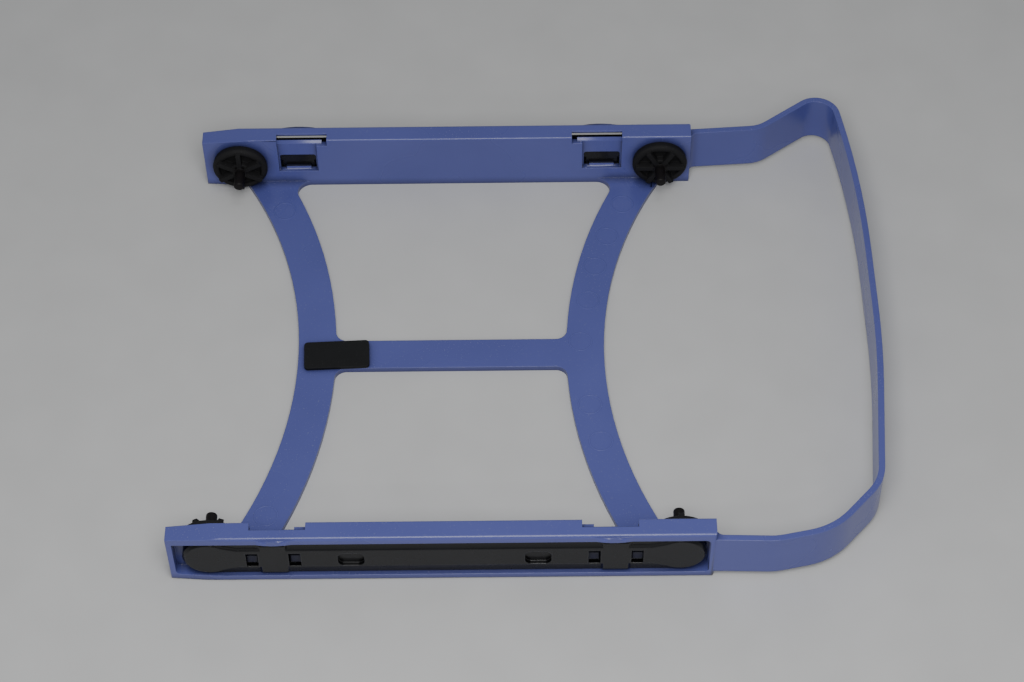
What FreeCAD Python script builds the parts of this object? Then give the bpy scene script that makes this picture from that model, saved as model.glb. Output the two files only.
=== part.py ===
"""Hot swap drive caddy: one moulded tray frame with a loop handle, and its rubber drive mounts.

The frame is a flexible plastic moulding. Two side rails hold a 3.5 inch disk drive between
them, a thin H-shaped web ties the rails together, and a springy strap loops around the
front as a handle. Each rail is a channel, open on its outer side, with a rubber damper
strip lying in it. The strip's two ribbed discs pass through the rail wall into the bay,
and a hard pin in each disc enters the drive's side screw hole.

Frame: +X towards the handle, +Y across the bay, +Z up. The origin is midway between the
four drive pins, on the underside. Lengths are millimetres.
"""

import FreeCAD
import Part
import math
import os

# Drive that the caddy carries: 3.5 inch form factor
drive_width = 101.6
drive_hole_spacing = 101.6
drive_hole_height = 6.35
pin_reach = 3.45

# Tray frame: bay, rails and web
bay_clearance = 4.15
rear_overhang = 8.65
front_overhang = 7.35
rail_height = 16.0
rail_depth = 4.6
wall_thickness = 1.5
flange_thickness = 2.0
end_wall_thickness = 1.2
channel_corner_radius = 1.2
rail_edge_radius = 0.45
rail_outer_radius = 0.8
rail_corner_radius = 1.0
rear_taper_length = 12.0
rear_outer_taper = 0.7
rear_inner_taper = 0.35
rear_top_taper = 1.0
rear_bottom_taper = 0.5
web_thickness = 1.5

# Web legs: each is bounded by two arcs whose centres lie off the middle by leg_offset
rear_leg_waist_x = -34.7
rear_leg_outer_radius = 106.0
rear_leg_inner_radius = 117.9
front_leg_waist_x = 36.0
front_leg_outer_radius = 104.9
front_leg_inner_radius = 115.3
leg_width = 8.7
leg_offset = 0.55
crossbar_width = 8.0
crossbar_offset = 1.1
crossbar_fillet_radius = 2.7
leg_inner_fillet_radius = 3.4
leg_outer_fillet_radius = 1.0

# Latches: one near each end of each rail, where hooks hold the damper strip
latch_x = 36.8
recess_width = 9.5
recess_depth = 0.75
recess_ledge_z = 5.1
ridge_top_drop = 1.3
ridge_chamfer = 0.6
window_width = 8.7
window_height = 5.1
window_corner_radius = 0.7
window_tab_width = 6.0
window_tab_height = 1.0
slot_inner_x = 29.5
slot_outer_x = 41.6
slot_depth = 2.1
slot_floor_drop = 2.05
slot_notch_width = 1.3
slot_skin_thickness = 0.5
slot_pocket_depth = 3.4
lip_swell = 0.35
lip_swell_overrun = 1.5
hook_width = 1.5
hook_z = 6.3
hook_height = 2.4
hook_nose_reach = 1.0
hook_nose_thickness = 0.6
hook_nose_chamfer = 0.3
hook_face_inset = 1.1
hook_grip = 0.45

# Strap handle
strap_thickness = 1.4
strap_height = 12.0
strap_inset = 0.3
strap_root_radius = 1.6

# Corners of the strap's outer edge: length ahead of the rails, place across, bend radius
far_shoulder_length = 16.55
far_shoulder_rise = 1.15
far_shoulder_radius = 6.8
crest_length = 35.05
crest_rise = 14.55
crest_radius = 5.75
far_bow_length = 40.15
far_bow_y = 42.0
far_bow_radius = 270.0
near_bow_length = 40.35
near_bow_y = -7.3
near_bow_radius = 255.0
near_turn_length = 37.2
near_turn_inset = 14.85
near_turn_radius = 11.5
near_heel_length = 25.8
near_heel_inset = 2.25
near_heel_radius = 17.0
near_shoulder_length = 13.15
near_shoulder_rise = 0.4
near_shoulder_radius = 13.9

# Damper strips
bulb_radius_gap = 0.25
strip_face_inset = 0.45
strip_edge_chamfer = 0.65
strip_base_inset = 1.0
strip_low_gap = 0.1
strip_high_gap = 0.85
strip_base_end = 0.5
plateau_height = 7.2
plateau_taper_length = 6.3
hook_pocket_z = 7.0
hook_pocket_height = 5.6
hook_hole_gap = 0.05
oval_x = 20.1
oval_z = 7.4
oval_length = 5.7
oval_height = 4.6
oval_depth = 0.9
oval_corner_radius = 1.4

# Ribbed discs of the damper strips
disc_radius = 6.6
disc_rim_width = 1.4
disc_rim_height = 2.1
disc_edge_chamfer = 0.5
disc_floor_height = 1.0
disc_hub_radius = 2.5
disc_hub_height = 2.5
disc_neck_radius = 4.0
disc_clearance = 0.2
rib_count = 6
rear_disc_turn = 30.0
front_disc_turn = 0.0
rib_width = 1.2
rib_height = 3.0
rib_reach = 5.8
rib_end_chamfer = 0.4

# Drive pins
pin_diameter = 2.5
pin_tip_chamfer = 0.5
pin_shoulder_diameter = 3.3
pin_shoulder_lift = 0.1
pin_head_sides = 6
pin_head_diameter = 5.0
pin_head_thickness = 0.9
pin_head_cover = 0.7

# Pad stuck on the web, a little askew
pad_length = 15.0
pad_width = 7.6
pad_thickness = 0.8
pad_corner_radius = 0.9
pad_lead = 1.4
pad_offset = 0.65
pad_turn = 2.4

# How far a cutting shape runs on past the faces it cuts
margin = 1.0

# Finding edges: how far an upright edge may lean, and how far from its stated place it may be
edge_lean = 0.05
edge_reach = 0.6

# Places worked out from the sizes above
bay_half = drive_width / 2 + bay_clearance
outer_half = bay_half + rail_depth
pin_x = drive_hole_spacing / 2
pin_z = web_thickness + drive_hole_height
rail_rear_x = -pin_x - rear_overhang
rail_front_x = pin_x + front_overhang
channel_floor_z = flange_thickness
channel_roof_z = rail_height - flange_thickness
slot_floor_z = rail_height - slot_floor_drop
ridge_top_z = rail_height - ridge_top_drop
roof_drop_at_pin = rear_top_taper * (1 - rear_overhang / rear_taper_length)
roof_above_pin = channel_roof_z - roof_drop_at_pin - pin_z
bulb_radius = min(pin_z - channel_floor_z, roof_above_pin) - bulb_radius_gap
strip_face_w = rail_depth - strip_face_inset
strip_low_z = channel_floor_z + strip_low_gap
strip_high_z = channel_roof_z - strip_high_gap
hook_face_w = strip_face_w - hook_face_inset
hook_seat_w = hook_face_w - hook_nose_thickness
pin_tip_y = drive_width / 2 - pin_reach


def vec(x, y, z=0.0):
    """Short form of a point or direction."""
    return FreeCAD.Vector(x, y, z)


def block(x_range, y_range, z_range):
    """Box between two values on each axis."""
    size = [r[1] - r[0] for r in (x_range, y_range, z_range)]
    return Part.makeBox(size[0], size[1], size[2], vec(x_range[0], y_range[0], z_range[0]))


def prism(points, direction):
    """Polygon through the points, carried along a direction."""
    face = Part.Face(Part.makePolygon(points + points[:1]))
    return face.extrude(direction)


def rounded_block(x_range, y_range, z_range, radius, axis):
    """Box with the four edges that run along one axis (0, 1 or 2) rounded."""
    box = block(x_range, y_range, z_range)
    edges = [e for e in box.Edges if abs(e.tangentAt(e.FirstParameter)[axis]) > 0.9]
    return box.makeFillet(radius, edges)


def upright_edges_near(shape, places, top):
    """Edges along Z that end below the given top, near the given X, Y places."""
    found = []
    for edge in shape.Edges:
        box = edge.BoundBox
        upright = box.ZLength > edge_reach and max(box.XLength, box.YLength) < edge_lean
        if not upright or box.ZMax > top + edge_lean:
            continue
        middle = vec(edge.CenterOfMass.x, edge.CenterOfMass.y)
        if any(middle.distanceToPoint(vec(*place)) < edge_reach for place in places):
            found.append(edge)
    return found


def on_side(shape, side):
    """The shape as built for the +Y rail, or its mirror image for the -Y rail."""
    if side > 0:
        return shape
    return shape.mirror(vec(0, 0), vec(0, 1))


def mirrored_x(shape):
    """The shape mirrored from the front half of a rail to the rear half."""
    return shape.mirror(vec(0, 0), vec(1, 0))


# Side rails. Depths w are measured outwards from the bay face of the rail.

def rear_wedge(face, inward, depth, flat):
    """Wedge beyond a slope that thins the rail's rear end: flat for a slope of Z, else of Y."""
    start = rail_rear_x - margin
    end = rail_rear_x + rear_taper_length
    deepest = inward * depth * (rear_taper_length + margin) / rear_taper_length
    profile = [
        (start, face - inward * margin), (start, face + deepest),
        (end, face), (end, face - inward * margin)]
    if flat:
        return prism([vec(x, bay_half, t) for x, t in profile], vec(0, rail_depth + margin))
    return prism([vec(x, t) for x, t in profile], vec(0, 0, rail_height))


def rail_corner():
    """What is taken off the rail's outer front corner to round it."""
    square = block(
        (rail_front_x - rail_corner_radius, rail_front_x + margin),
        (outer_half - rail_corner_radius, outer_half + margin), (0, rail_height))
    kept = Part.makeCylinder(
        rail_corner_radius, rail_height,
        vec(rail_front_x - rail_corner_radius, outer_half - rail_corner_radius))
    return square.cut(kept)


def rail_blank():
    """Rail before its latches: a channel, open outwards, slimmer at its rear end."""
    blank = block((rail_rear_x, rail_front_x), (bay_half, outer_half), (0, rail_height))
    long_edges = [e for e in blank.Edges if e.BoundBox.XLength > rail_depth]
    outer_edges = [e for e in long_edges if e.CenterOfMass.y > bay_half + rail_depth / 2]
    blank = blank.makeFillet(rail_outer_radius, outer_edges)
    top_edge = [e for e in blank.Edges
                if e.BoundBox.XLength > rail_depth and e.BoundBox.YMax < bay_half + margin / 2
                and e.CenterOfMass.z > rail_height / 2]
    blank = blank.makeFillet(rail_edge_radius, top_edge)
    channel = rounded_block(
        (rail_rear_x + end_wall_thickness, rail_front_x - end_wall_thickness),
        (bay_half + wall_thickness, outer_half + margin),
        (channel_floor_z, channel_roof_z),
        channel_corner_radius, 1)
    channel = channel.cut(rear_wedge(channel_roof_z, -1, rear_top_taper, flat=True))
    trims = [
        rail_corner(),
        rear_wedge(bay_half, 1, rear_inner_taper, flat=False),
        rear_wedge(outer_half, -1, rear_outer_taper, flat=False),
        rear_wedge(0, 1, rear_bottom_taper, flat=True),
        rear_wedge(rail_height, -1, rear_top_taper, flat=True)]
    return blank.cut(trims).cut(channel)


def lip_swelling():
    """Low swelling of the top flange, outwards, beside a latch slot."""
    start = vec(slot_inner_x, outer_half - rail_outer_radius, channel_roof_z)
    end = vec(slot_outer_x + lip_swell_overrun, outer_half - rail_outer_radius, channel_roof_z)
    crest = vec((start.x + end.x) / 2, outer_half + lip_swell, channel_roof_z)
    edges = [Part.Arc(start, crest, end).toShape(), Part.makeLine(end, start)]
    face = Part.Face(Part.Wire(edges))
    return face.extrude(vec(0, 0, flange_thickness - rail_outer_radius / 2))


def latch_slot():
    """Slot through the top flange, hollowed out below the flange's remaining skin."""
    slot = block(
        (slot_inner_x, slot_outer_x), (bay_half - margin, bay_half + slot_depth),
        (slot_floor_z, rail_height + margin))
    pocket = block(
        (slot_inner_x, slot_outer_x), (bay_half, bay_half + slot_pocket_depth),
        (slot_floor_z, rail_height - slot_skin_thickness))
    return slot.fuse(pocket)


def latch_recess():
    """Space in front of a latch window, open to the bay and to the slot above."""
    return block(
        (latch_x - recess_width / 2, latch_x + recess_width / 2),
        (bay_half - margin, bay_half + recess_depth),
        (recess_ledge_z, rail_height))


def latch_ridge():
    """Low ridge that carries the recessed wall on up into the slot, chamfered on its bay side."""
    front = bay_half + recess_depth
    back = bay_half + wall_thickness
    start = slot_inner_x + slot_notch_width
    low = recess_ledge_z + window_height
    points = [
        vec(start, front, low),
        vec(start, back, low),
        vec(start, back, ridge_top_z),
        vec(start, front + ridge_chamfer, ridge_top_z),
        vec(start, front, ridge_top_z - ridge_chamfer)]
    return prism(points, vec(slot_outer_x - start, 0))


def latch_window():
    """Window through the recessed wall, with a low tab standing in the middle of its sill."""
    w_range = (bay_half - margin, bay_half + wall_thickness + margin)
    x_range = (latch_x - window_width / 2, latch_x + window_width / 2)
    z_range = (recess_ledge_z, recess_ledge_z + window_height)
    opening = block(x_range, w_range, z_range)
    top_edges = [e for e in opening.Edges
                 if e.BoundBox.YLength > 1 and e.CenterOfMass.z > z_range[1] - 0.01]
    opening = opening.makeFillet(window_corner_radius, top_edges)
    tab = block(
        (latch_x - window_tab_width / 2, latch_x + window_tab_width / 2),
        w_range, (recess_ledge_z - margin, recess_ledge_z + window_tab_height))
    return opening.cut(tab)


def latch_hook(direction):
    """Hook at one end of a window; its nose points to the window's middle."""
    root = window_width / 2
    foot = wall_thickness / 2
    steps = [
        (root + hook_width, foot),
        (root + hook_width, hook_face_w),
        (root - hook_nose_reach + hook_nose_chamfer, hook_face_w),
        (root - hook_nose_reach, hook_face_w - hook_nose_chamfer),
        (root - hook_nose_reach, hook_seat_w),
        (root, hook_seat_w),
        (root, foot)]
    low = hook_z - hook_height / 2
    points = [vec(latch_x + direction * s, bay_half + w, low) for s, w in steps]
    return prism(points, vec(0, 0, hook_height))


def neck_hole(x):
    """Hole in the rail wall for the neck of a damper disc."""
    return Part.makeCylinder(
        disc_neck_radius, wall_thickness + 2 * margin,
        vec(x, bay_half - margin, pin_z), vec(0, 1))


def side_rail():
    """Finished +Y rail with its four hooks, two windows, two slots and two disc holes."""
    rail = rail_blank()
    for place in (lambda shape: shape, mirrored_x):
        rail = rail.fuse(place(lip_swelling()))
        rail = rail.cut(place(latch_slot())).cut(place(latch_recess()))
        rail = rail.fuse(place(latch_ridge()))
        rail = rail.cut(place(latch_window()))
        rail = rail.fuse(place(latch_hook(1))).fuse(place(latch_hook(-1)))
    for x in (-pin_x, pin_x):
        rail = rail.cut(neck_hole(x))
    return rail.removeSplitter()


# Web: two curved legs and a crossbar

def leg_edge_x(waist_x, radius, facing, y):
    """X of a leg's arc edge at a given Y; facing is the side that the arc's centre is on."""
    return waist_x + facing * (radius - math.sqrt(radius ** 2 - (y - leg_offset) ** 2))


def leg_disc(waist_x, radius, facing):
    """Disc whose rim is one edge of a leg; waist_x is the edge's place where it is narrowest."""
    return Part.makeCylinder(
        radius, web_thickness, vec(waist_x + facing * radius, leg_offset))


def end_gap(waist_x, outer_radius, facing):
    """Open space beyond a leg, between the rails, rounded where the leg meets them."""
    between = block(
        sorted((0, facing * outer_radius)), (-bay_half, bay_half), (0, web_thickness))
    gap = leg_disc(waist_x, outer_radius, facing).common(between)
    corners = [(leg_edge_x(waist_x, outer_radius, facing, y), y)
               for y in (-bay_half, bay_half)]
    return gap.makeFillet(
        leg_outer_fillet_radius, upright_edges_near(gap, corners, web_thickness))


def web_window(rail_y, bar_y):
    """Open space between the legs, from a rail to the crossbar, with rounded corners."""
    legs = [
        (rear_leg_waist_x + leg_width, rear_leg_inner_radius, -1),
        (front_leg_waist_x - leg_width, front_leg_inner_radius, 1)]
    window = block(
        (rail_rear_x, rail_front_x), sorted((rail_y, bar_y)), (0, web_thickness))
    for leg in legs:
        window = window.cut(leg_disc(*leg))
    for y, radius in ((rail_y, leg_inner_fillet_radius), (bar_y, crossbar_fillet_radius)):
        corners = [(leg_edge_x(*leg, y), y) for leg in legs]
        window = window.makeFillet(
            radius, upright_edges_near(window, corners, web_thickness))
    return window


def web():
    """H-shaped web: a plate with a gap beyond each leg and a window on each side of the bar."""
    rear = (rear_leg_waist_x, rear_leg_outer_radius, -1)
    front = (front_leg_waist_x, front_leg_outer_radius, 1)
    margin = 2 * leg_outer_fillet_radius
    y_end = bay_half + wall_thickness / 2
    plate = block(
        (leg_edge_x(*rear, -bay_half) - margin, leg_edge_x(*front, -bay_half) + margin),
        (-y_end, y_end), (0, web_thickness))
    bar_near = crossbar_offset - crossbar_width / 2
    bar_far = crossbar_offset + crossbar_width / 2
    gaps = [
        end_gap(*rear), end_gap(*front),
        web_window(-bay_half, bar_near), web_window(bay_half, bar_far)]
    return plate.cut(gaps)


# Strap handle

def strap_corners():
    """Corners of the strap's outer edge, with radii, from the +Y rail round to the -Y rail."""
    edge = outer_half - strap_inset
    front = rail_front_x
    return [
        (front - end_wall_thickness, edge, 0.0),
        (front + far_shoulder_length, edge + far_shoulder_rise, far_shoulder_radius),
        (front + crest_length, edge + crest_rise, crest_radius),
        (front + far_bow_length, far_bow_y, far_bow_radius),
        (front + near_bow_length, near_bow_y, near_bow_radius),
        (front + near_turn_length, near_turn_inset - edge, near_turn_radius),
        (front + near_heel_length, near_heel_inset - edge, near_heel_radius),
        (front + near_shoulder_length, -edge - near_shoulder_rise, near_shoulder_radius),
        (front - end_wall_thickness, -edge, 0.0)]


def path_stations(corners):
    """Tangent points of a rounded path as (start, middle, end) of each bend, with headings."""
    points = [vec(x, y) for x, y, radius in corners]
    legs = [b.sub(a) for a, b in zip(points, points[1:])]
    turns = [legs[i].getAngle(legs[i + 1]) for i in range(len(legs) - 1)]
    wanted = [corners[i + 1][2] * math.tan(turn / 2) for i, turn in enumerate(turns)]
    spans = [0.0] + wanted + [0.0]
    share = [min(1.0, 0.98 * leg.Length / max(spans[i] + spans[i + 1], 1e-6))
             for i, leg in enumerate(legs)]
    bends = []
    for i in range(len(turns)):
        span = wanted[i] * min(share[i], share[i + 1])
        radius = span / math.tan(turns[i] / 2)
        before = vec(*legs[i]).normalize()
        after = vec(*legs[i + 1]).normalize()
        corner = points[i + 1]
        start = corner.sub(before * span)
        end = corner.add(after * span)
        inward = after.sub(before).normalize()
        centre = corner.add(inward * (radius / math.cos(turns[i] / 2)))
        middle = centre.sub(inward * radius)
        bends.append(((start, before), (middle, before.add(after).normalize()), (end, after)))
    return points, bends


def shifted(station, distance):
    """Point moved to the right of its heading."""
    point, heading = station
    return point.add(vec(heading.y, -heading.x) * distance)


def path_edges(points, bends, distance):
    """Lines and arcs of a rounded path, moved to its right by a distance."""
    first = (points[0], bends[0][0][1])
    last = (points[-1], bends[-1][2][1])
    edges = []
    at = shifted(first, distance)
    for start, middle, end in bends:
        bend = [shifted(station, distance) for station in (start, middle, end)]
        edges.append(Part.makeLine(at, bend[0]))
        edges.append(Part.Arc(*bend).toShape())
        at = bend[2]
    edges.append(Part.makeLine(at, shifted(last, distance)))
    return edges


def strap():
    """Loop handle: a band of even thickness standing on edge."""
    points, bends = path_stations(strap_corners())
    outer = path_edges(points, bends, 0.0)
    inner = path_edges(points, bends, strap_thickness)
    ends = [
        Part.makeLine(outer[0].Vertexes[0].Point, inner[0].Vertexes[0].Point),
        Part.makeLine(outer[-1].Vertexes[-1].Point, inner[-1].Vertexes[-1].Point)]
    outline = Part.Wire(Part.sortEdges(outer + inner + ends)[0])
    low = pin_z - strap_height / 2
    return Part.Face(outline).extrude(vec(0, 0, strap_height)).translated(vec(0, 0, low))


def tray_frame():
    """The whole moulding: two rails, web and strap handle."""
    rail = side_rail()
    frame = on_side(rail, 1).fuse([on_side(rail, -1), web(), strap()]).removeSplitter()
    inner = outer_half - strap_inset - strap_thickness
    places = [(rail_front_x, side * inner) for side in (-1, 1)]
    strap_roots = upright_edges_near(frame, places, rail_height)
    frame = frame.makeFillet(strap_root_radius, strap_roots)
    for x in (-pin_x, pin_x):
        for side in (-1, 1):
            room = Part.makeCylinder(
                disc_radius + disc_clearance, rib_height + disc_clearance,
                vec(x, side * bay_half, pin_z), vec(0, -side))
            frame = frame.cut(room)
    return frame


# Drive pins

def drive_pin(x):
    """Pin of the +Y rail: a six-sided head buried in the rubber, a shoulder and a free shank."""
    radius = pin_diameter / 2
    shoulder = pin_shoulder_diameter / 2
    head_front = strip_face_w - pin_head_cover
    step = -rib_height - pin_shoulder_lift
    tip = pin_tip_y - bay_half
    profile = [
        vec(0, head_front),
        vec(shoulder, head_front),
        vec(shoulder, step),
        vec(radius, step),
        vec(radius, tip + pin_tip_chamfer),
        vec(radius - pin_tip_chamfer, tip),
        vec(0, tip)]
    outline = Part.Face(Part.makePolygon(profile + profile[:1]))
    turned = outline.revolve(vec(0, 0), vec(0, 1), 360)
    corner = vec(pin_head_diameter / 2, head_front)
    corners = [
        FreeCAD.Rotation(vec(0, 1), index * 360 / pin_head_sides).multVec(corner)
        for index in range(pin_head_sides)]
    head = prism(corners, vec(0, -pin_head_thickness))
    return turned.fuse(head).removeSplitter().translated(vec(x, bay_half, pin_z))


# Damper strips

def damper_disc(x, turn):
    """Disc of the +Y rail: rounded rim, sunk floor, hub and radial ribs, with its neck."""
    rim_inner = disc_radius - disc_rim_width
    profile = [
        vec(0, 0),
        vec(disc_radius, 0),
        vec(disc_radius, -disc_rim_height + disc_edge_chamfer),
        vec(disc_radius - disc_edge_chamfer, -disc_rim_height),
        vec(rim_inner, -disc_rim_height),
        vec(rim_inner, -disc_floor_height),
        vec(0, -disc_floor_height)]
    outline = Part.Face(Part.makePolygon(profile + profile[:1]))
    disc = outline.revolve(vec(0, 0), vec(0, 1), 360)
    hub = Part.makeCylinder(disc_hub_radius, disc_hub_height, vec(0, 0), vec(0, -1))
    neck = Part.makeCylinder(disc_neck_radius, wall_thickness, vec(0, 0), vec(0, 1))
    disc = disc.fuse([hub, neck])
    for index in range(rib_count):
        rib = prism(
            [vec(0, -disc_floor_height / 2, -rib_width / 2),
             vec(0, -rib_height, -rib_width / 2),
             vec(rib_reach - rib_end_chamfer, -rib_height, -rib_width / 2),
             vec(rib_reach, -rib_height + rib_end_chamfer, -rib_width / 2),
             vec(rib_reach, -disc_floor_height / 2, -rib_width / 2)],
            vec(0, 0, rib_width))
        rib.rotate(vec(0, 0), vec(0, 1), turn + index * 360 / rib_count)
        disc = disc.fuse(rib)
    return disc.removeSplitter().translated(vec(x, bay_half, pin_z))


def strip_slab(x, half_length, low, high, face_w):
    """Upright slab of the strip, centred at x, from the rail wall to a depth."""
    return block(
        (x - half_length, x + half_length),
        (bay_half + wall_thickness, bay_half + face_w), (low, high))


def strip_end(x):
    """Round end of the strip round a pin, tapering to the plateau's height."""
    narrow_x = x - math.copysign(plateau_taper_length, x)
    back = bay_half + wall_thickness
    depth = strip_face_w - wall_thickness
    bulb = Part.makeCylinder(bulb_radius, depth, vec(x, back, pin_z), vec(0, 1))
    taper = prism(
        [vec(x, back, pin_z - bulb_radius),
         vec(narrow_x, back, pin_z - plateau_height / 2),
         vec(narrow_x, back, pin_z + plateau_height / 2),
         vec(x, back, pin_z + bulb_radius)],
        vec(0, depth))
    return bulb.fuse(taper)


def raised_strip():
    """The strip's proud part: two round ends, the plateau between them and the latch tongues."""
    raised = strip_slab(
        0, pin_x - plateau_taper_length / 2, pin_z - plateau_height / 2,
        pin_z + plateau_height / 2, strip_face_w)
    tongue_half = window_width / 2 - hook_nose_reach - hook_hole_gap
    for sign in (-1, 1):
        raised = raised.fuse(strip_end(sign * pin_x))
        raised = raised.fuse(strip_slab(
            sign * latch_x, tongue_half, strip_low_z, strip_high_z, strip_face_w))
    raised = raised.removeSplitter()
    rims = [e for e in raised.Edges
            if e.BoundBox.YMin > bay_half + strip_face_w - strip_edge_chamfer / 2]
    return raised.makeChamfer(strip_edge_chamfer, rims)


def hook_holes():
    """Holes through the strip for the hooks of a latch, each in a pocket of the outer face."""
    cuts = []
    root = window_width / 2
    snug = hook_height / 2 + hook_hole_gap
    loose = hook_pocket_height / 2
    for direction in (-1, 1):
        through = sorted((
            latch_x + direction * (root - hook_nose_reach + hook_grip),
            latch_x + direction * (root + hook_width + hook_hole_gap)))
        pocket = sorted((
            latch_x + direction * (root - hook_nose_reach - hook_hole_gap),
            latch_x + direction * (root + hook_width + hook_hole_gap)))
        cuts.append(block(
            through, (bay_half, outer_half), (hook_z - snug, hook_z + snug)))
        cuts.append(block(
            pocket, (bay_half + hook_seat_w, outer_half),
            (hook_pocket_z - loose, hook_pocket_z + loose)))
    return cuts


def oval_recess(x):
    """Blind oblong recess in the strip's outer face."""
    return rounded_block(
        (x - oval_length / 2, x + oval_length / 2),
        (bay_half + strip_face_w - oval_depth, outer_half),
        (oval_z - oval_height / 2, oval_z + oval_height / 2),
        oval_corner_radius, 1)


def damper_strip():
    """Rubber strip of the +Y rail, with its two ribbed discs."""
    base = strip_slab(
        0, pin_x - strip_base_end, strip_low_z, strip_high_z, rail_depth - strip_base_inset)
    strip = base.fuse(raised_strip())
    for sign, place in ((1, lambda shape: shape), (-1, mirrored_x)):
        for cut in hook_holes():
            strip = strip.cut(place(cut))
        strip = strip.cut(oval_recess(sign * oval_x))
    strip = strip.fuse([
        damper_disc(-pin_x, rear_disc_turn), damper_disc(pin_x, front_disc_turn)])
    for x in (-pin_x, pin_x):
        strip = strip.cut(drive_pin(x))
    return strip.removeSplitter()


def cross_pad():
    """Thin pad with rounded corners, lying where the crossbar meets the rear leg."""
    pad = rounded_block(
        (-pad_length / 2, pad_length / 2), (-pad_width / 2, pad_width / 2),
        (0, pad_thickness), pad_corner_radius, 2)
    pad.rotate(vec(0, 0), vec(0, 0, 1), pad_turn)
    middle = rear_leg_waist_x + pad_lead + pad_length / 2
    return pad.translated(vec(middle, pad_offset, web_thickness))


def pieces():
    """Every piece of the caddy by node name; the two damper strips are one part, used twice."""
    strip = damper_strip()
    turned = strip.copy()
    turned.rotate(vec(0, 0), vec(0, 0, 1), 180)
    model = {
        "tray_frame": tray_frame(), "cross_pad": cross_pad(),
        "damper_strip_far": strip, "damper_strip_near": turned}
    for name, side in (("near", -1), ("far", 1)):
        model["drive_pin_" + name + "_rear"] = on_side(drive_pin(-pin_x), side)
        model["drive_pin_" + name + "_front"] = on_side(drive_pin(pin_x), side)
    return model


def main():
    """Write one STEP file for each piece."""
    os.makedirs("parts", exist_ok=True)
    for name, shape in pieces().items():
        solids = shape.Solids
        print(name, "solids", len(solids), "valid", shape.isValid(),
              "volume", round(shape.Volume, 1), "box", shape.BoundBox)
        solid = solids[0] if len(solids) == 1 else shape
        solid.exportStep("parts/" + name + ".step")


main()
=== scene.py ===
# %% [markdown]
# # Hot swap drive caddy
# The real thing is a springy plastic frame that grips a 3.5 inch disk drive. Two channel
# rails hold it from the sides, a thin web ties the rails together, and a loop of plastic
# strap is the handle. Rubber strips lie in the rails, and the drive hangs on four pins in
# ribbed rubber discs. The fixed frame below already has the right sizes, so this notebook
# only has to shade it well, add small details, and give every piece its finish.

# %% Load the fixed frame
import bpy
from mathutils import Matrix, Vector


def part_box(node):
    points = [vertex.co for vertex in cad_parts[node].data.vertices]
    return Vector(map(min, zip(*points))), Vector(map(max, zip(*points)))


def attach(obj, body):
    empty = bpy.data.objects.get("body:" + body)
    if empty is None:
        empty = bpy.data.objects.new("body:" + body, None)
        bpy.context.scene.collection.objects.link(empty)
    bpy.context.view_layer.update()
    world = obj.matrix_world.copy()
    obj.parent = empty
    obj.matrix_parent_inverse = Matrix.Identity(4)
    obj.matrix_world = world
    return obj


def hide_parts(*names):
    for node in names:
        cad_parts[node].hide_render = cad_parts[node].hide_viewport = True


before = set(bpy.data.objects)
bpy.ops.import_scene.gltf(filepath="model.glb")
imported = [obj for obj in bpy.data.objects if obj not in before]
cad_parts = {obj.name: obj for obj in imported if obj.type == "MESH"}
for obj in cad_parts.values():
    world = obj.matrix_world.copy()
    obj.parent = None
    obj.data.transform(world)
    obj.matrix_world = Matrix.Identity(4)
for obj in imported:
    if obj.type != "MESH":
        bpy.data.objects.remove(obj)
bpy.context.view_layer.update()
print("nodes:", ", ".join(sorted(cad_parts)))

# %% Imports and units
import bpy
import bmesh
import math
from mathutils import Matrix, Quaternion, Vector

MM = 0.001
MM_PER_METRE = 1000.0


def mm(*values):
    """A point given in millimetres, as metres."""
    return Vector([value * MM for value in values])


# %% [markdown]
# ## Shared surface effects
# Moulded plastic, rubber and the black of the pins are never perfectly even. The same four
# effects come back on each of them: a fine grain with broad cloudiness, a painted highlight on
# the edges, a little dust on faces that look up, and painted shade in narrow pockets and on
# undersides. The grain and dust belong to the surface; the highlight and the shade are painted
# light. Each effect is a shader node group, so one recipe serves every material, with its own
# strengths.

# %% A helper that starts a node group
def new_group(name, inputs, outputs):
    """Empty shader group with named float inputs {name: default} and outputs {name: type}."""
    tree = bpy.data.node_groups.new(name, "ShaderNodeTree")
    for label, value in inputs.items():
        socket = tree.interface.new_socket(label, in_out="INPUT", socket_type="NodeSocketFloat")
        socket.default_value = value
    for label, kind in outputs.items():
        tree.interface.new_socket(label, in_out="OUTPUT", socket_type=kind)
    return tree, tree.nodes.new("NodeGroupInput"), tree.nodes.new("NodeGroupOutput")


def math_node(tree, operation, first, second=None, clamp=False):
    """Math node fed by sockets or numbers; returns its output socket."""
    node = tree.nodes.new("ShaderNodeMath")
    node.operation = operation
    node.use_clamp = clamp
    for slot, value in enumerate((first, second)):
        if value is None:
            continue
        if isinstance(value, (int, float)):
            node.inputs[slot].default_value = value
        else:
            tree.links.new(value, node.inputs[slot])
    return node.outputs[0]


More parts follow.
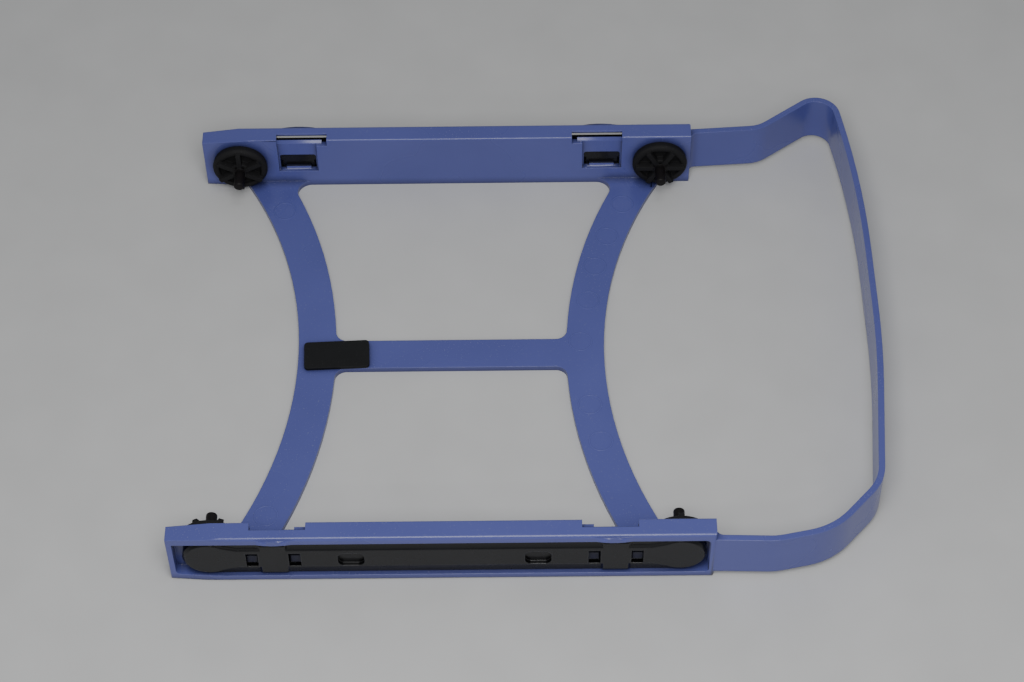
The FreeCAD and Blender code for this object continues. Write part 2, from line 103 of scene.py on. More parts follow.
# %% Grain and cloudiness
def build_grain_group():
    """Fine moulded grain as a height, and slow cloudiness as a tone from 0 to 1."""
    tree, entry, leave = new_group(
        "moulded_grain",
        {"Grain Size": 0.4, "Cloud Size": 22.0, "Cloud Contrast": 1.0},
        {"Height": "NodeSocketFloat", "Tone": "NodeSocketFloat"})
    place = tree.nodes.new("ShaderNodeTexCoord").outputs["Object"]
    for size, target, detail in (("Grain Size", "Height", 3.0), ("Cloud Size", "Tone", 2.0)):
        noise = tree.nodes.new("ShaderNodeTexNoise")
        noise.inputs["Detail"].default_value = detail
        tree.links.new(place, noise.inputs["Vector"])
        per_metre = math_node(tree, "DIVIDE", MM_PER_METRE, entry.outputs[size])
        tree.links.new(per_metre, noise.inputs["Scale"])
        value = noise.outputs["Fac"]
        if target == "Tone":
            spread = math_node(tree, "SUBTRACT", value, 0.5)
            spread = math_node(tree, "MULTIPLY", spread, entry.outputs["Cloud Contrast"])
            value = math_node(tree, "ADD", spread, 0.5, clamp=True)
        tree.links.new(value, leave.inputs[target])
    return tree


# %% Painted highlight on the edges, and rounded normals
EDGE_SAMPLES = 8


def build_edge_highlight_group():
    """Rounded normal near the edges, and a mask of them for a painted highlight, from how far that
    normal leans.
    """
    tree, entry, leave = new_group(
        "edge_round_and_highlight", {"Radius": 0.3, "Gain": 3.0},
        {"Edge": "NodeSocketFloat", "Round": "NodeSocketVector"})
    bevel = tree.nodes.new("ShaderNodeBevel")
    bevel.samples = EDGE_SAMPLES
    tree.links.new(math_node(tree, "MULTIPLY", entry.outputs["Radius"], MM),
                   bevel.inputs["Radius"])
    flat = tree.nodes.new("ShaderNodeNewGeometry").outputs["Normal"]
    dot = tree.nodes.new("ShaderNodeVectorMath")
    dot.operation = "DOT_PRODUCT"
    tree.links.new(bevel.outputs["Normal"], dot.inputs[0])
    tree.links.new(flat, dot.inputs[1])
    lean = math_node(tree, "SUBTRACT", 1.0, dot.outputs["Value"])
    mask = math_node(tree, "MULTIPLY", lean, entry.outputs["Gain"], clamp=True)
    tree.links.new(mask, leave.inputs["Edge"])
    tree.links.new(bevel.outputs["Normal"], leave.inputs["Round"])
    return tree


# %% Dust on faces that look up
# Only the noise above the start makes specks, and the sharpness sets how crisp they are.
SPECK_START = 0.68
SPECK_SHARPNESS = 14.0


def build_dust_group():
    """Mask of sparse dust specks and a thin film, on upward faces only."""
    tree, entry, leave = new_group(
        "settled_dust", {"Speck Size": 0.5, "Specks": 0.3, "Film": 0.15},
        {"Dust": "NodeSocketFloat"})
    place = tree.nodes.new("ShaderNodeTexCoord").outputs["Object"]
    noise = tree.nodes.new("ShaderNodeTexNoise")
    noise.inputs["Detail"].default_value = 1.0
    tree.links.new(place, noise.inputs["Vector"])
    tree.links.new(math_node(tree, "DIVIDE", MM_PER_METRE, entry.outputs["Speck Size"]),
                   noise.inputs["Scale"])
    specks = math_node(tree, "SUBTRACT", noise.outputs["Fac"], SPECK_START)
    specks = math_node(tree, "MULTIPLY", specks, SPECK_SHARPNESS, clamp=True)
    specks = math_node(tree, "MULTIPLY", specks, entry.outputs["Specks"])
    split = tree.nodes.new("ShaderNodeSeparateXYZ")
    tree.links.new(tree.nodes.new("ShaderNodeNewGeometry").outputs["Normal"], split.inputs[0])
    upward = math_node(tree, "MAXIMUM", split.outputs["Z"], 0.0)
    total = math_node(tree, "ADD", specks, entry.outputs["Film"])
    tree.links.new(math_node(tree, "MULTIPLY", total, upward, clamp=True), leave.inputs["Dust"])
    return tree


# %% Painted shade in deep corners and on undersides
CORNER_SAMPLES = 6


def build_painted_corner_shade():
    """Painted shade: share of light that reaches a point, less in pockets and on undersides, 0 to 1.
    """
    tree, entry, leave = new_group(
        "painted_shade_in_corners", {"Reach": 2.5, "Depth": 1.0, "Underside": 0.3},
        {"Open": "NodeSocketFloat"})
    nearby = tree.nodes.new("ShaderNodeAmbientOcclusion")
    nearby.samples = CORNER_SAMPLES
    tree.links.new(math_node(tree, "MULTIPLY", entry.outputs["Reach"], MM),
                   nearby.inputs["Distance"])
    shade = math_node(tree, "POWER", nearby.outputs["AO"], entry.outputs["Depth"])
    split = tree.nodes.new("ShaderNodeSeparateXYZ")
    tree.links.new(tree.nodes.new("ShaderNodeNewGeometry").outputs["Normal"], split.inputs[0])
    downward = math_node(tree, "MAXIMUM", math_node(tree, "MULTIPLY", split.outputs["Z"], -1.0), 0.0)
    loss = math_node(tree, "MULTIPLY", downward, entry.outputs["Underside"])
    lit = math_node(tree, "SUBTRACT", 1.0, loss)
    tree.links.new(math_node(tree, "MULTIPLY", shade, lit, clamp=True), leave.inputs["Open"])
    return tree


GRAIN = build_grain_group()
EDGE_HIGHLIGHT = build_edge_highlight_group()
DUST = build_dust_group()
PAINTED_CORNER_SHADE = build_painted_corner_shade()
print("node groups:", [g.name for g in bpy.data.node_groups])


# %% [markdown]
# ## Finishes
# All seven finishes share one layout: a dark and a light version of the colour are mixed by
# the cloudiness, a painted edge highlight and dust are laid over it, painted shade darkens it
# in deep corners and on undersides, and the grain drives the bump. How strongly a finish
# reflects is set on the shader itself.

# %% A recipe for a finish
DUST_ROUGHNESS = 0.4


def new_finish(name, dark, light, painted_shade_colour, painted_highlight_colour, dust_colour, roughness, grain,
               edge, dust, corners, bump_depth, highlight_share):
    """Material from two tones of a colour, with grain, a painted edge highlight, dust and painted
    shade in deep corners.
    """
    material = bpy.data.materials.new(name)
    material.use_nodes = True
    tree = material.node_tree
    shader = tree.nodes["Principled BSDF"]

    def placed(group, values):
        node = tree.nodes.new("ShaderNodeGroup")
        node.node_tree = group
        for label, value in values.items():
            node.inputs[label].default_value = value
        return node

    def mixed(factor, first, second):
        node = tree.nodes.new("ShaderNodeMix")
        node.data_type = "RGBA"
        tree.links.new(factor, node.inputs["Factor"])
        for label, value in (("A", first), ("B", second)):
            socket = [s for s in node.inputs if s.name == label and s.type == "RGBA"][0]
            if isinstance(value, bpy.types.NodeSocket):
                tree.links.new(value, socket)
            else:
                socket.default_value = (*value, 1.0)
        return [s for s in node.outputs if s.type == "RGBA"][0]

    surface = placed(GRAIN, grain)
    rim = placed(EDGE_HIGHLIGHT, edge)
    film = placed(DUST, dust)
    colour = mixed(surface.outputs["Tone"], dark, light)
    # Painted highlight: the edge mask mixes a lighter colour in along the edges.
    highlight_mask = math_node(tree, "MULTIPLY", rim.outputs["Edge"], highlight_share)
    colour = mixed(highlight_mask, colour, painted_highlight_colour)
    colour = mixed(film.outputs["Dust"], colour, dust_colour)
    # Painted shade: pockets and undersides are mixed towards the dark shade colour.
    colour = mixed(placed(PAINTED_CORNER_SHADE, corners).outputs["Open"], painted_shade_colour, colour)
    tree.links.new(colour, shader.inputs["Base Color"])
    low, high = roughness
    rough = math_node(tree, "MULTIPLY", surface.outputs["Tone"], high - low)
    rough = math_node(tree, "ADD", rough, low)
    dusty = math_node(tree, "MULTIPLY", film.outputs["Dust"], DUST_ROUGHNESS)
    rough = math_node(tree, "ADD", rough, dusty, clamp=True)
    tree.links.new(rough, shader.inputs["Roughness"])
    bump = tree.nodes.new("ShaderNodeBump")
    bump.inputs["Strength"].default_value = 1.0
    bump.inputs["Distance"].default_value = bump_depth * MM
    tree.links.new(surface.outputs["Height"], bump.inputs["Height"])
    tree.links.new(rim.outputs["Round"], bump.inputs["Normal"])
    tree.links.new(bump.outputs["Normal"], shader.inputs["Normal"])
    return material, shader


# %% Blue-violet plastic of the frame
PLASTIC_IOR = 1.49
RUBBER_IOR = 1.52
# In each finish below, the third colour is painted shade for corners and undersides, and the fourth
# a painted highlight for edges.
plastic, plastic_shader = new_finish(
    "frame_plastic",
    dark=(0.086, 0.099, 0.330), light=(0.104, 0.119, 0.385), painted_shade_colour=(0.012, 0.013, 0.040),
    painted_highlight_colour=(0.20, 0.23, 0.56), dust_colour=(0.40, 0.42, 0.50),
    roughness=(0.23, 0.33),
    grain={"Grain Size": 0.35, "Cloud Size": 24.0, "Cloud Contrast": 1.6},
    edge={"Radius": 0.25, "Gain": 3.0}, dust={"Speck Size": 0.35, "Specks": 0.16, "Film": 0.0},
    corners={"Reach": 2.5, "Depth": 1.3, "Underside": 0.4}, bump_depth=0.008, highlight_share=0.30)
plastic_shader.inputs["IOR"].default_value = PLASTIC_IOR
plastic_shader.inputs["Specular IOR Level"].default_value = 0.60

# %% A dark copy of the plastic, as painted shade on the hooks and round the windows
shaded_plastic, shaded_plastic_shader = new_finish(
    "painted_shade_plastic",
    dark=(0.009, 0.010, 0.030), light=(0.016, 0.018, 0.056), painted_shade_colour=(0.003, 0.003, 0.006),
    painted_highlight_colour=(0.05, 0.055, 0.14), dust_colour=(0.12, 0.12, 0.14),
    roughness=(0.40, 0.55),
    grain={"Grain Size": 0.35, "Cloud Size": 1.5, "Cloud Contrast": 1.8},
    edge={"Radius": 0.2, "Gain": 3.0}, dust={"Speck Size": 0.35, "Specks": 0.10, "Film": 0.0},
    corners={"Reach": 2.5, "Depth": 1.3, "Underside": 0.4}, bump_depth=0.008, highlight_share=0.3)
shaded_plastic_shader.inputs["IOR"].default_value = PLASTIC_IOR
shaded_plastic_shader.inputs["Specular IOR Level"].default_value = 0.40

# %% Plain plastic of the thin ring marks
# A ring is thinner than the reach of the painted edge highlight and the painted corner shade,
# so both are near zero.
ring_plastic, ring_shader = new_finish(
    "ring_plastic",
    dark=(0.094, 0.108, 0.352), light=(0.112, 0.128, 0.408), painted_shade_colour=(0.090, 0.104, 0.340),
    painted_highlight_colour=(0.12, 0.14, 0.42), dust_colour=(0.40, 0.42, 0.50),
    roughness=(0.26, 0.36),
    grain={"Grain Size": 0.35, "Cloud Size": 24.0, "Cloud Contrast": 1.6},
    edge={"Radius": 0.01, "Gain": 1.0}, dust={"Speck Size": 0.35, "Specks": 0.10, "Film": 0.0},
    corners={"Reach": 0.05, "Depth": 1.0, "Underside": 0.0}, bump_depth=0.004, highlight_share=0.1)
ring_shader.inputs["IOR"].default_value = PLASTIC_IOR
ring_shader.inputs["Specular IOR Level"].default_value = 0.60

# %% Black rubber of the damper strips
rubber, rubber_shader = new_finish(
    "damper_rubber",
    dark=(0.0045, 0.0045, 0.0056), light=(0.0085, 0.0085, 0.0105), painted_shade_colour=(0.001, 0.001, 0.001),
    painted_highlight_colour=(0.100, 0.100, 0.108), dust_colour=(0.12, 0.12, 0.125),
    roughness=(0.22, 0.32),
    grain={"Grain Size": 0.22, "Cloud Size": 9.0, "Cloud Contrast": 1.4},
    edge={"Radius": 0.35, "Gain": 3.0}, dust={"Speck Size": 0.3, "Specks": 0.20, "Film": 0.01},
    corners={"Reach": 3.0, "Depth": 1.6, "Underside": 0.9}, bump_depth=0.006, highlight_share=0.7)
rubber_shader.inputs["IOR"].default_value = RUBBER_IOR
rubber_shader.inputs["Specular IOR Level"].default_value = 0.34

# %% Duller rubber of the discs
disc_rubber, disc_shader = new_finish(
    "disc_rubber",
    dark=(0.0130, 0.0128, 0.0136), light=(0.0180, 0.0176, 0.0188),
    painted_shade_colour=(0.0130, 0.0128, 0.0136), painted_highlight_colour=(0.022, 0.022, 0.023),
    dust_colour=(0.10, 0.10, 0.105),
    roughness=(0.58, 0.72),
    grain={"Grain Size": 0.22, "Cloud Size": 5.0, "Cloud Contrast": 1.5},
    edge={"Radius": 0.2, "Gain": 3.0}, dust={"Speck Size": 0.35, "Specks": 0.30, "Film": 0.03},
    corners={"Reach": 2.0, "Depth": 1.0, "Underside": 0.2}, bump_depth=0.014, highlight_share=0.2)
disc_shader.inputs["IOR"].default_value = RUBBER_IOR
disc_shader.inputs["Specular IOR Level"].default_value = 0.12

# %% Satin black of the steel pins
steel, steel_shader = new_finish(
    "pin_black",
    dark=(0.0060, 0.0048, 0.0054), light=(0.0095, 0.0078, 0.0088),
    painted_shade_colour=(0.003, 0.003, 0.003),
    painted_highlight_colour=(0.024, 0.021, 0.023), dust_colour=(0.08, 0.08, 0.08),
    roughness=(0.40, 0.52),
    grain={"Grain Size": 0.15, "Cloud Size": 2.0, "Cloud Contrast": 1.5},
    edge={"Radius": 0.15, "Gain": 4.0}, dust={"Speck Size": 0.3, "Specks": 0.1, "Film": 0.02},
    corners={"Reach": 1.5, "Depth": 1.0, "Underside": 0.3}, bump_depth=0.004, highlight_share=0.4)
steel_shader.inputs["Specular IOR Level"].default_value = 0.20

# %% Dull black of the pad
dull, dull_shader = new_finish(
    "pad_black",
    dark=(0.0044, 0.0047, 0.0054), light=(0.0080, 0.0086, 0.0096),
    painted_shade_colour=(0.002, 0.002, 0.002),
    painted_highlight_colour=(0.024, 0.024, 0.026), dust_colour=(0.07, 0.07, 0.075),
    roughness=(0.60, 0.74),
    grain={"Grain Size": 0.30, "Cloud Size": 5.0, "Cloud Contrast": 1.2},
    edge={"Radius": 0.2, "Gain": 2.5}, dust={"Speck Size": 0.3, "Specks": 0.2, "Film": 0.02},
    corners={"Reach": 1.5, "Depth": 1.0, "Underside": 0.3}, bump_depth=0.05, highlight_share=0.4)
dull_shader.inputs["Specular IOR Level"].default_value = 0.30
print("finishes:", [m.name for m in (
    plastic, shaded_plastic, ring_plastic, rubber, disc_rubber, steel, dull)])


# %% [markdown]
# ## Shading the moulded pieces
# A mould never gives a perfectly sharp edge, and it is the tiny rounds that draw the bright
# lines along the rails. A Bevel modifier could cut them, but the frame has edges far shorter
# than the rounds, and the modifier either shrinks to fit them or tears. So the large rounds
# are in the fixed frame itself, and the smallest ones are a rounded normal in the finish,
# with a painted highlight laid on top.
# Each piece is a merged copy, with flat areas joined into single faces that stay flat.

# %% Making, shading and showing a piece
# Points closer than the merge distance become one. Faces that lean apart by less than the
# flat angle are joined into one face.
MERGE_DISTANCE = 0.002 * MM
FLAT_ANGLE = 0.6
FULL_WEIGHT = 100


def add_piece(name, mesh, material, replaced=()):
    """Show a mesh as a piece of the object that stands for some fixed nodes."""
    mesh.materials.clear()
    mesh.materials.append(material)
    piece = bpy.data.objects.new(name, mesh)
    bpy.context.scene.collection.objects.link(piece)
    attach(piece, "root")
    if replaced:
        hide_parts(*replaced)
    return piece


def merged_copy(node):
    """Copy of a fixed node's mesh with its triangles joined and flat areas dissolved."""
    work = bmesh.new()
    work.from_mesh(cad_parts[node].data)
    bmesh.ops.remove_doubles(work, verts=work.verts, dist=MERGE_DISTANCE)
    bmesh.ops.dissolve_limit(
        work, angle_limit=math.radians(FLAT_ANGLE), use_dissolve_boundaries=False,
        verts=work.verts, edges=work.edges)
    return work


def crisp_faces(piece, angle=28.0):
    """Smooth shading within curved areas, sharp edges elsewhere, and large faces kept flat."""
    for polygon in piece.data.polygons:
        polygon.use_smooth = True
    piece.data.set_sharp_from_angle(angle=math.radians(angle))
    weighted = piece.modifiers.new("large_faces_flat", "WEIGHTED_NORMAL")
    weighted.mode = "FACE_AREA"
    weighted.weight = FULL_WEIGHT
    weighted.keep_sharp = True


def finished_mesh(work, name):
    """Turn a working mesh into a plain one."""
    mesh = bpy.data.meshes.new(name)
    work.to_mesh(mesh)
    work.free()
    return mesh


# %% [markdown]
# ## The frame moulding
# Rails, web and strap are one moulding, so they stay one piece. The hooks in the rubber
# pockets and the faces round the windows get a dark copy of the plastic, as painted shade.

# %% Frame moulding
frame_mesh = finished_mesh(merged_copy("tray_frame"), "tray_frame_copy")
frame_piece = add_piece("frame_moulding", frame_mesh, plastic, ["tray_frame"])
crisp_faces(frame_piece)
print("frame faces:", len(frame_mesh.polygons))

# %% Painted shade on the hooks and round the windows
# The eight hooks stand in pockets of the rubber, and the rubber shows through the windows.
# Both zones get the dark copy of the plastic as painted shade.
# Each zone is a low and a high corner in millimetres, the same at all four latches.
PAINTED_SHADE_SLOT = 1
frame_mesh.materials.append(shaded_plastic)
PAINTED_SHADE_ZONES = {
    "hooks": ((30.0, 56.6, 4.6), (43.5, 58.6, 8.6)),
    "windows": ((32.2, 55.85, 3.0), (41.4, 56.40, 11.5))}
for zone, (low, high) in PAINTED_SHADE_ZONES.items():
    count = 0
    for polygon in frame_mesh.polygons:
        place = [abs(value) / MM for value in polygon.center]
        if all(a < value < b for a, value, b in zip(low, place, high)):
            polygon.material_index = PAINTED_SHADE_SLOT
            count += 1
    print("shaded_plastic", zone, "faces:", count)


# %% [markdown]
# ## The cross pad
# A thin rubber pad is stuck on the web. Its corners are already round, so its copy only
# needs shading.

# %% Cross pad
pad_mesh = finished_mesh(merged_copy("cross_pad"), "cross_pad_copy")
pad_piece = add_piece("stuck_pad", pad_mesh, dull, ["cross_pad"])
crisp_faces(pad_piece)
print("pad size in mm:", [round(side * 1000, 2) for side in pad_piece.dimensions])


# %% [markdown]
# ## The damper strips
# Each strip is one rubber moulding: a bar in the rail, and two ribbed discs that stand
# through the rail wall. The bar is a merged copy of the fixed node, cut off inside the
# wall, where nothing shows. The discs are made in the next step.

# %% Damper bars
WALL_CUT = mm(0, 55.6, 0)


def damper_bar(node, side):
    """The part of a damper strip that lies in the rail, closed where the discs leave it."""
    work = merged_copy(node)
    geometry = list(work.verts) + list(work.edges) + list(work.faces)
    bmesh.ops.bisect_plane(
        work, geom=geometry, plane_co=WALL_CUT * side, plane_no=(0, side, 0), clear_inner=True)
    bmesh.ops.holes_fill(work, edges=[e for e in work.edges if e.is_boundary])
    bmesh.ops.recalc_face_normals(work, faces=work.faces)
    return finished_mesh(work, node + "_bar")


for reach, side in (("near", -1), ("far", 1)):
    node = "damper_strip_" + reach
    bar = add_piece("damper_bar_" + reach, damper_bar(node, side), rubber, [node])
    crisp_faces(bar, angle=14.0)
    print(bar.name, "faces:", len(bar.data.polygons))


# %% [markdown]
# ## The ribbed discs
# A disc is a shallow dish with a rounded rim, a hub in the middle and six ribs between
# them. The dish is a profile spun round its axis. The ribs repeat, so a Geometry Nodes tree
# sets one block at each of six points on a circle, turned to point outwards.

# %% Sizes read from the fixed frame
pin_low, pin_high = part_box("drive_pin_far_front")
pin_x = (pin_low.x + pin_high.x) / 2
pin_z = (pin_low.z + pin_high.z) / 2
WALL_FACE = 54.95 * MM
print("pin centre in mm:", round(pin_x * 1000, 2), round(pin_z * 1000, 2))


def set_in_wall(mesh, corner):
    """Turn and move a mesh made round the origin to a corner such as near_front."""
    reach, end = corner.split("_")
    side = 1 if reach == "far" else -1
    if side < 0:
        mesh.transform(Matrix.Rotation(math.pi, 4, "Z"))
    along = pin_x if end == "front" else -pin_x
    mesh.transform(Matrix.Translation((along, side * WALL_FACE, pin_z)))


# %% Spinning a profile
def spun(name, profile, steps=64):
    """Closed mesh from (radius, depth) points in millimetres, spun round the Y axis."""
    work = bmesh.new()
    rings = []
    for radius, depth in profile:
        if radius == 0:
            rings.append([work.verts.new(mm(0, depth, 0))])
            continue
        rings.append([
            work.verts.new(mm(radius * math.cos(a), depth, radius * math.sin(a)))
            for a in (2 * math.pi * k / steps for k in range(steps))])
    for first, second in zip(rings, rings[1:]):
        for k in range(steps):
            n = (k + 1) % steps
            corners = [first[k % len(first)], first[n % len(first)],
                       second[n % len(second)], second[k % len(second)]]
            unique = []
            for corner in corners:
                if corner not in unique:
                    unique.append(corner)
            work.faces.new(unique)
    bmesh.ops.recalc_face_normals(work, faces=work.faces)
    return finished_mesh(work, name)


def arc(centre, radius, start, end, count):
    """Points of an arc in the profile plane, angles in degrees."""
    points = []
    for k in range(count + 1):
        a = math.radians(start + (end - start) * k / count)
        points.append((centre[0] + radius * math.cos(a), centre[1] + radius * math.sin(a)))
    return points


# %% Tree that sets ribs round a disc
def build_rib_tree():
    """Geometry Nodes tree: joins blocks set round the Y axis to the incoming dish."""
    tree = bpy.data.node_groups.new("radial_ribs", "GeometryNodeTree")
    new = tree.interface.new_socket
    new("Geometry", in_out="INPUT", socket_type="NodeSocketGeometry")
    for label, kind in (("Count", "NodeSocketInt"), ("Length", "NodeSocketFloat"),
                        ("Width", "NodeSocketFloat"), ("Height", "NodeSocketFloat"),
                        ("Base", "NodeSocketFloat"), ("Turn", "NodeSocketFloat"),
                        ("Finish", "NodeSocketMaterial")):
        new(label, in_out="INPUT", socket_type=kind)
    new("Geometry", in_out="OUTPUT", socket_type="NodeSocketGeometry")
    nodes, link = tree.nodes, tree.links.new
    entry, leave = nodes.new("NodeGroupInput"), nodes.new("NodeGroupOutput")

    def maths(operation, *values):
        node = nodes.new("ShaderNodeMath")
        node.operation = operation
        for socket, value in zip(node.inputs, values):
            if isinstance(value, (int, float)):
                socket.default_value = value
            else:
                link(value, socket)
        return node.outputs[0]

    size = nodes.new("ShaderNodeCombineXYZ")
    link(entry.outputs["Length"], size.inputs["X"])
    link(maths("SUBTRACT", entry.outputs["Height"], entry.outputs["Base"]), size.inputs["Y"])
    link(entry.outputs["Width"], size.inputs["Z"])
    block = nodes.new("GeometryNodeMeshCube")
    link(size.outputs[0], block.inputs["Size"])
    middle = nodes.new("ShaderNodeCombineXYZ")
    link(maths("DIVIDE", entry.outputs["Length"], 2.0), middle.inputs["X"])
    half = maths("DIVIDE", maths("ADD", entry.outputs["Height"], entry.outputs["Base"]), -2.0)
    link(half, middle.inputs["Y"])
    shift = nodes.new("GeometryNodeTransform")
    link(block.outputs["Mesh"], shift.inputs["Geometry"])
    link(middle.outputs[0], shift.inputs["Translation"])
    points = nodes.new("GeometryNodePoints")
    link(entry.outputs["Count"], points.inputs["Count"])
    step = maths("DIVIDE", 2 * math.pi, entry.outputs["Count"])
    angle = maths("MULTIPLY", nodes.new("GeometryNodeInputIndex").outputs[0], step)
    turn = nodes.new("ShaderNodeCombineXYZ")
    link(maths("ADD", angle, entry.outputs["Turn"]), turn.inputs["Y"])
    place = nodes.new("GeometryNodeInstanceOnPoints")
    link(points.outputs[0], place.inputs["Points"])
    link(shift.outputs[0], place.inputs["Instance"])
    link(turn.outputs[0], place.inputs["Rotation"])
    join = nodes.new("GeometryNodeJoinGeometry")
    link(place.outputs[0], join.inputs[0])
    link(entry.outputs["Geometry"], join.inputs[0])
    real = nodes.new("GeometryNodeRealizeInstances")
    link(join.outputs[0], real.inputs[0])
    paint = nodes.new("GeometryNodeSetMaterial")
    link(real.outputs[0], paint.inputs["Geometry"])
    link(entry.outputs["Finish"], paint.inputs["Material"])
    link(paint.outputs[0], leave.inputs[0])
    return tree


RIBS = build_rib_tree()


# %% Running a tree into a plain mesh
def grown_mesh(name, start, tree, values):
    """Run a Geometry Nodes tree on a mesh with the given named inputs; returns the result."""
    carrier = bpy.data.objects.new(name, start)
    bpy.context.scene.collection.objects.link(carrier)
    modifier = carrier.modifiers.new(tree.name, "NODES")
    modifier.node_group = tree
    for item in tree.interface.items_tree:
        if item.item_type == "SOCKET" and item.in_out == "INPUT" and item.name in values:
            modifier[item.identifier] = values[item.name]
    ready = carrier.evaluated_get(bpy.context.evaluated_depsgraph_get())
    mesh = bpy.data.meshes.new_from_object(ready)
    mesh.name = name
    bpy.data.objects.remove(carrier)
    return mesh


# %% Four ribbed discs
DISC_RADIUS = 6.6
dish_profile = (
    # neck in the wall and back of the dish
    [(3.9, 0.9), (3.9, 0.02), (DISC_RADIUS - 0.2, 0.02)]
    # rounded rim, outside and inside
    + arc((DISC_RADIUS - 0.95, -1.15), 0.95, 0, -90, 7)
    + arc((DISC_RADIUS - 1.2, -1.75), 0.35, -90, -180, 4)
    # floor of the dish
    + [(DISC_RADIUS - 1.6, -1.2)]
    + arc((DISC_RADIUS - 2.0, -1.4), 0.4, 0, 90, 4)
    + [(2.7, -1.0)]
    # hub and the hole for the pin
    + [(2.45, -1.2), (2.4, -2.1)]
    + arc((2.1, -2.2), 0.3, 0, -90, 4)
    + [(1.65, -2.5), (1.65, 0.9)])
rib_sizes = {"Count": 6, "Length": 5.8 * MM, "Width": 1.15 * MM, "Height": 3.0 * MM,
             "Base": 0.4 * MM, "Finish": disc_rubber}
disc_turns = {"near_rear": 0, "near_front": 30, "far_rear": 30, "far_front": 0}
for corner, turn in disc_turns.items():
    dish = spun("dish_" + corner, dish_profile + dish_profile[:1])
    mesh = grown_mesh("ribs_" + corner, dish, RIBS, {**rib_sizes, "Turn": math.radians(turn)})
    set_in_wall(mesh, corner)
    disc = add_piece("ribbed_disc_" + corner, mesh, disc_rubber)
    crisp_faces(disc, angle=40.0)
print("discs:", len(disc_turns), "faces each:", len(mesh.polygons))


# %% [markdown]
# ## The drive pins
# A pin is turned steel with a soft black finish. Only the free shank and the shoulder show,
# and the tip has a small round that helps it into the drive's screw hole.

# %% Four drive pins
pin_profile = (
    # head inside the rubber, and shoulder
    [(0, 3.4), (2.05, 3.4), (2.15, 3.3), (2.15, 2.7), (2.05, 2.6), (1.64, 2.6), (1.64, -2.95)]
    + arc((1.52, -2.97), 0.12, 0, -90, 3)
    # free shank and its rounded tip
    + [(1.25, -3.1), (1.25, -7.1)]
    + arc((0.75, -7.1), 0.5, 0, -90, 6)
    + [(0, -7.6)])
for corner in disc_turns:
    mesh = spun("pin_" + corner, pin_profile, steps=40)
    set_in_wall(mesh, corner)
    pin = add_piece("turned_pin_" + corner, mesh, steel,
                    ["drive_pin_" + corner])
    crisp_faces(pin, angle=35.0)
print("pin length in mm:", round(pin.dimensions.y * 1000, 2))


# %% [markdown]
# ## Ring marks on the web
# The mould's ejector pins leave shallow rings on the web legs. They are the same small ring
# again and again, so a Geometry Nodes tree lays one on each marked point.

# %% Tree that lays rings on points
def build_ring_tree():
    """Geometry Nodes tree: a flat ring on every incoming point."""
    tree = bpy.data.node_groups.new("ring_marks", "GeometryNodeTree")
    new = tree.interface.new_socket
    new("Geometry", in_out="INPUT", socket_type="NodeSocketGeometry")
    new("Radius", in_out="INPUT", socket_type="NodeSocketFloat")
    new("Wire", in_out="INPUT", socket_type="NodeSocketFloat")
    new("Flatness", in_out="INPUT", socket_type="NodeSocketFloat")
    new("Finish", in_out="INPUT", socket_type="NodeSocketMaterial")
    new("Geometry", in_out="OUTPUT", socket_type="NodeSocketGeometry")
    nodes, link = tree.nodes, tree.links.new
    entry, leave = nodes.new("NodeGroupInput"), nodes.new("NodeGroupOutput")
    circle = nodes.new("GeometryNodeCurvePrimitiveCircle")
    circle.inputs["Resolution"].default_value = 40
    link(entry.outputs["Radius"], circle.inputs["Radius"])
    wire = nodes.new("GeometryNodeCurvePrimitiveCircle")
    wire.inputs["Resolution"].default_value = 8
    link(entry.outputs["Wire"], wire.inputs["Radius"])
    sweep = nodes.new("GeometryNodeCurveToMesh")
    link(circle.outputs[0], sweep.inputs["Curve"])
    link(wire.outputs[0], sweep.inputs["Profile Curve"])
    squash = nodes.new("ShaderNodeCombineXYZ")
    squash.inputs["X"].default_value = 1.0
    squash.inputs["Y"].default_value = 1.0
    link(entry.outputs["Flatness"], squash.inputs["Z"])
    place = nodes.new("GeometryNodeInstanceOnPoints")
    link(entry.outputs["Geometry"], place.inputs["Points"])
    link(sweep.outputs[0], place.inputs["Instance"])
    link(squash.outputs[0], place.inputs["Scale"])
    real = nodes.new("GeometryNodeRealizeInstances")
    link(place.outputs[0], real.inputs[0])
    paint = nodes.new("GeometryNodeSetMaterial")
    link(real.outputs[0], paint.inputs["Geometry"])
    link(entry.outputs["Finish"], paint.inputs["Material"])
    link(paint.outputs[0], leave.inputs[0])
    return tree


# %% Ring marks
WEB_TOP = 1.5
ring_places = [
    (-40.0, 45.2), (-39.8, -43.6), (41.6, 46.4), (37.6, 36.2), (34.5, 26.9),
    (32.7, 16.6), (30.6, 4.3), (32.4, -13.9), (34.6, -24.2)]
spots = bpy.data.meshes.new("ring_spots")
spots.from_pydata([mm(x, y, WEB_TOP) for x, y in ring_places], [], [])
rings = grown_mesh("web_ring_marks", spots, build_ring_tree(), {
    "Radius": 2.6 * MM, "Wire": 0.16 * MM, "Flatness": 0.25, "Finish": ring_plastic})
add_piece("web_ring_marks", rings, ring_plastic)
for polygon in rings.polygons:
    polygon.use_smooth = True
print("rings:", len(ring_places), "faces:", len(rings.polygons))


# %% [markdown]
# ## Floor, light and camera
# The caddy lies on a plain pale floor. Broad soft lights keep the shadows gentle, the way a
# light tent does. The camera stands on the near side, well above the floor, with a long lens.

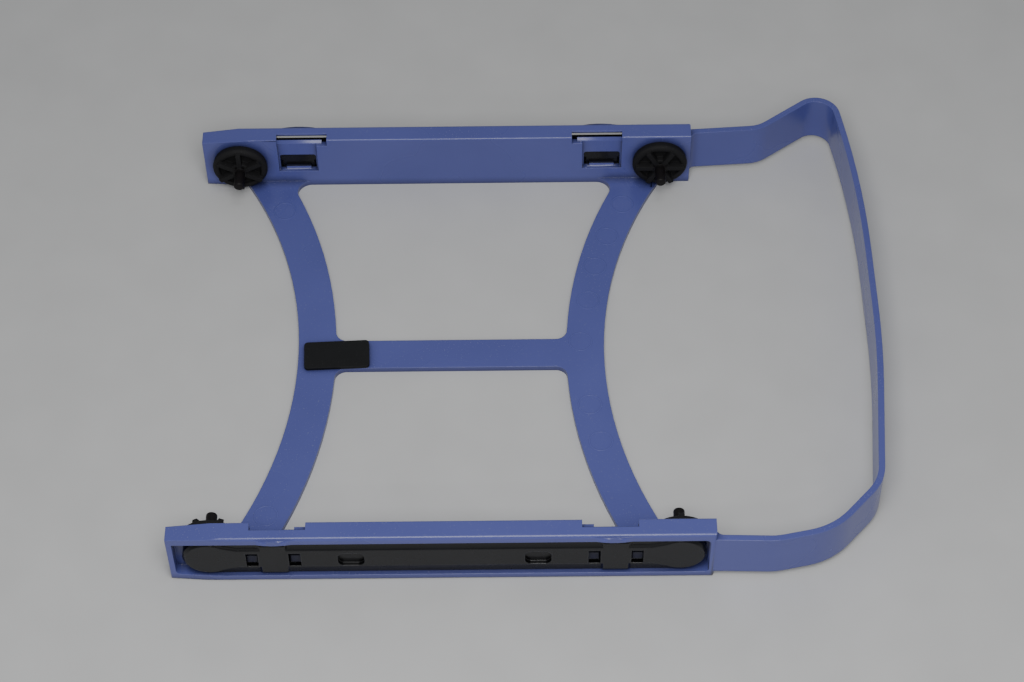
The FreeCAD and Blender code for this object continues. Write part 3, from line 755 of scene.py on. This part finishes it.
# %% Pale floor
FLOOR_HALF = 3.0
FLOOR_ROUGHNESS = 0.85
MOTTLE_SCALE = 60.0
FLOOR_TONES = ((0.58, 0.58, 0.575, 1), (0.66, 0.66, 0.655, 1))
floor_mesh = bpy.data.meshes.new("pale_floor")
floor_mesh.from_pydata(
    [(x * FLOOR_HALF, y * FLOOR_HALF, 0) for x, y in ((-1, -1), (1, -1), (1, 1), (-1, 1))],
    [], [(0, 1, 2, 3)])
floor = bpy.data.objects.new("pale_floor", floor_mesh)
bpy.context.scene.collection.objects.link(floor)
floor_material = bpy.data.materials.new("pale_floor")
floor_material.use_nodes = True
floor_tree = floor_material.node_tree
floor_shader = floor_tree.nodes["Principled BSDF"]
floor_shader.inputs["Roughness"].default_value = FLOOR_ROUGHNESS
mottle = floor_tree.nodes.new("ShaderNodeTexNoise")
mottle.inputs["Scale"].default_value = MOTTLE_SCALE
floor_tree.links.new(
    floor_tree.nodes.new("ShaderNodeTexCoord").outputs["Object"], mottle.inputs["Vector"])
tint = floor_tree.nodes.new("ShaderNodeMix")
tint.data_type = "RGBA"
floor_tree.links.new(mottle.outputs["Fac"], tint.inputs["Factor"])
# Sockets 6 and 7 of a Mix node are its two colours.
tint.inputs[6].default_value, tint.inputs[7].default_value = FLOOR_TONES
floor_tree.links.new(tint.outputs[2], floor_shader.inputs["Base Color"])
floor_mesh.materials.append(floor_material)

# %% Soft light
world = bpy.data.worlds.new("light_tent")
world.use_nodes = True
tent = world.node_tree.nodes["Background"]
tent.inputs["Color"].default_value = (0.95, 0.97, 1.0, 1)
tent.inputs["Strength"].default_value = 0.26
bpy.context.scene.world = world


def soft_light(name, place, aim, width, power, height=None):
    """Area light that looks from one point to another, in metres and watts."""
    data = bpy.data.lights.new(name, "AREA")
    data.shape = "RECTANGLE"
    data.size = width
    data.size_y = height or width
    data.energy = power
    lamp = bpy.data.objects.new(name, data)
    lamp.location = place
    lamp.rotation_euler = (Vector(aim) - Vector(place)).to_track_quat("-Z", "Y").to_euler()
    bpy.context.scene.collection.objects.link(lamp)


# A broad key in front and above, and two narrow panels for the thin gleams.
soft_light("front_key", place=(0.015, -0.25, 0.39), aim=(0.015, -0.12, 0),
           width=0.24, power=1.24)
soft_light("overhead_gleam", place=(0.06, -0.05, 0.65), aim=(0.03, 0.0, 0),
           width=0.16, height=0.03, power=0.20)
soft_light("low_gleam", place=(0.05, -0.49, 0.35), aim=(0.03, 0.0, 0),
           width=0.07, height=0.015, power=0.10)

# %% Camera
SENSOR_WIDTH = 36.0
LENS_LENGTH = 88.396
camera_place = mm(17.303, -354.594, 461.780)
camera_aim = mm(14.715, 5.789, 0)
camera_roll = math.radians(-0.891)
camera_data = bpy.data.cameras.new("camera")
camera_data.sensor_width = SENSOR_WIDTH
camera_data.lens = LENS_LENGTH
camera = bpy.data.objects.new("camera", camera_data)
camera.location = camera_place
look = (camera_aim - camera_place).to_track_quat("-Z", "Y")
camera.rotation_mode = "QUATERNION"
camera.rotation_quaternion = look @ Quaternion((0, 0, 1), camera_roll)
bpy.context.scene.collection.objects.link(camera)
bpy.context.scene.camera = camera
print("camera stands", round((camera_aim - camera_place).length, 3), "m away")
